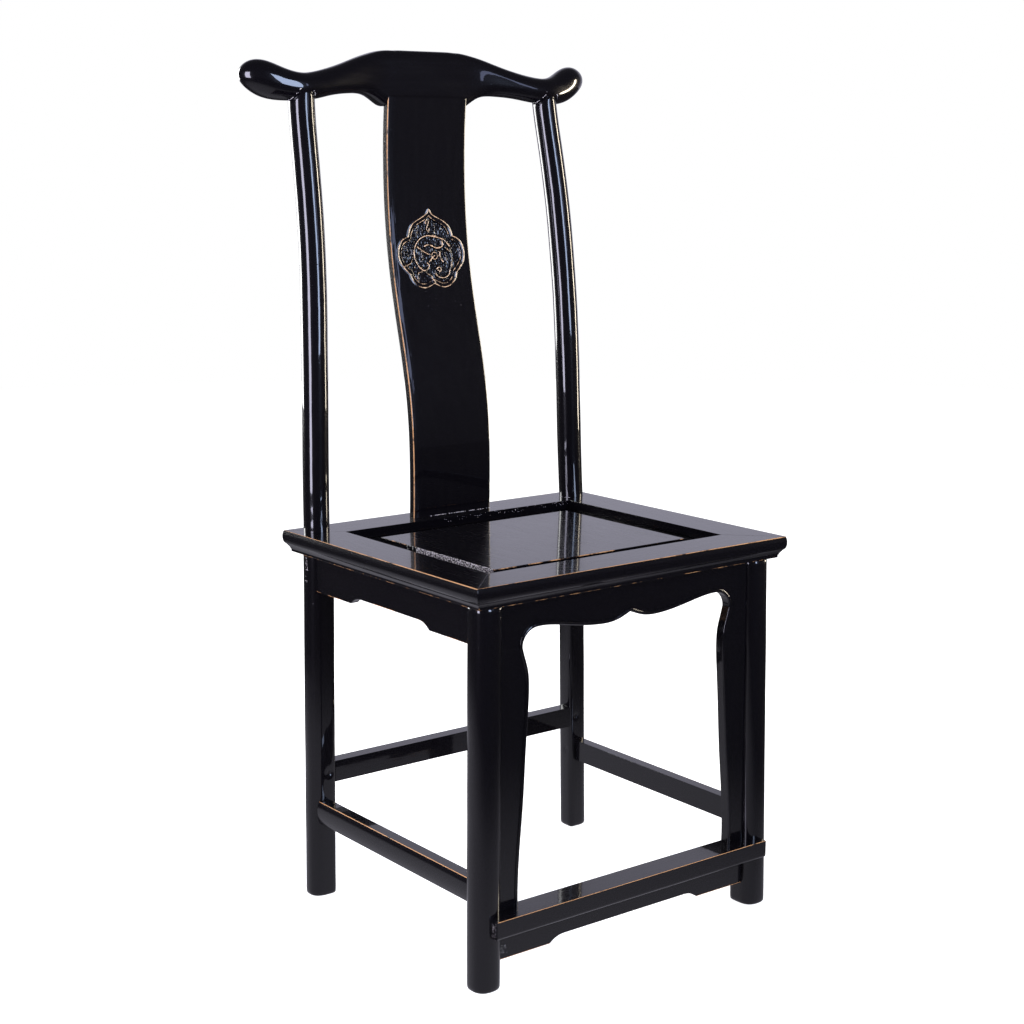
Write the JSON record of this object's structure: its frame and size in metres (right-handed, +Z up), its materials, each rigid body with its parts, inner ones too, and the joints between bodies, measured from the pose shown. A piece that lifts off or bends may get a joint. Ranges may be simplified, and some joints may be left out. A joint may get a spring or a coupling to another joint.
{
  "type": "yoke-back side chair",
  "caption": "Armless wooden side chair with a yoke-shaped crest rail, curved back splat, framed panel seat, shaped front apron and a footrest.",
  "frame": {"origin": "on the floor, midway between the front of the footrest and the back of the crest rail, on the chair's centre plane", "axes": "+Z up, the chair faces -Y, +X to the right of someone who looks at its front"},
  "size_m": [0.557, 0.4858, 1.1218],
  "materials": {
    "lacquer": "near-black lacquer on elm, worn through to tan wood along the edges",
    "bare_wood": "bare aged elm"
  },
  "bodies": {
    "root": {"crest_rail": "lacquer", "back_splat": "lacquer", "rear_post_left": "lacquer", "rear_post_right": "lacquer", "front_leg_left": "lacquer", "front_leg_right": "lacquer", "seat_rail_front": "lacquer", "seat_rail_rear": "lacquer", "seat_rail_left": "lacquer", "seat_rail_right": "lacquer", "seat_panel": "lacquer", "seat_batten_left": "bare_wood", "seat_batten_right": "bare_wood", "front_apron": "lacquer", "front_bracket_left": "lacquer", "front_bracket_right": "lacquer", "side_apron_left": "lacquer", "side_apron_right": "lacquer", "rear_apron": "lacquer", "footrest": "lacquer", "footrest_apron": "lacquer", "side_stretcher_left": "lacquer", "side_stretcher_right": "lacquer", "rear_stretcher": "lacquer", "seat_frame_pegs": "bare_wood", "crest_rail_pegs": "lacquer", "stretcher_pegs": "lacquer"}
  },
  "joints": []
}
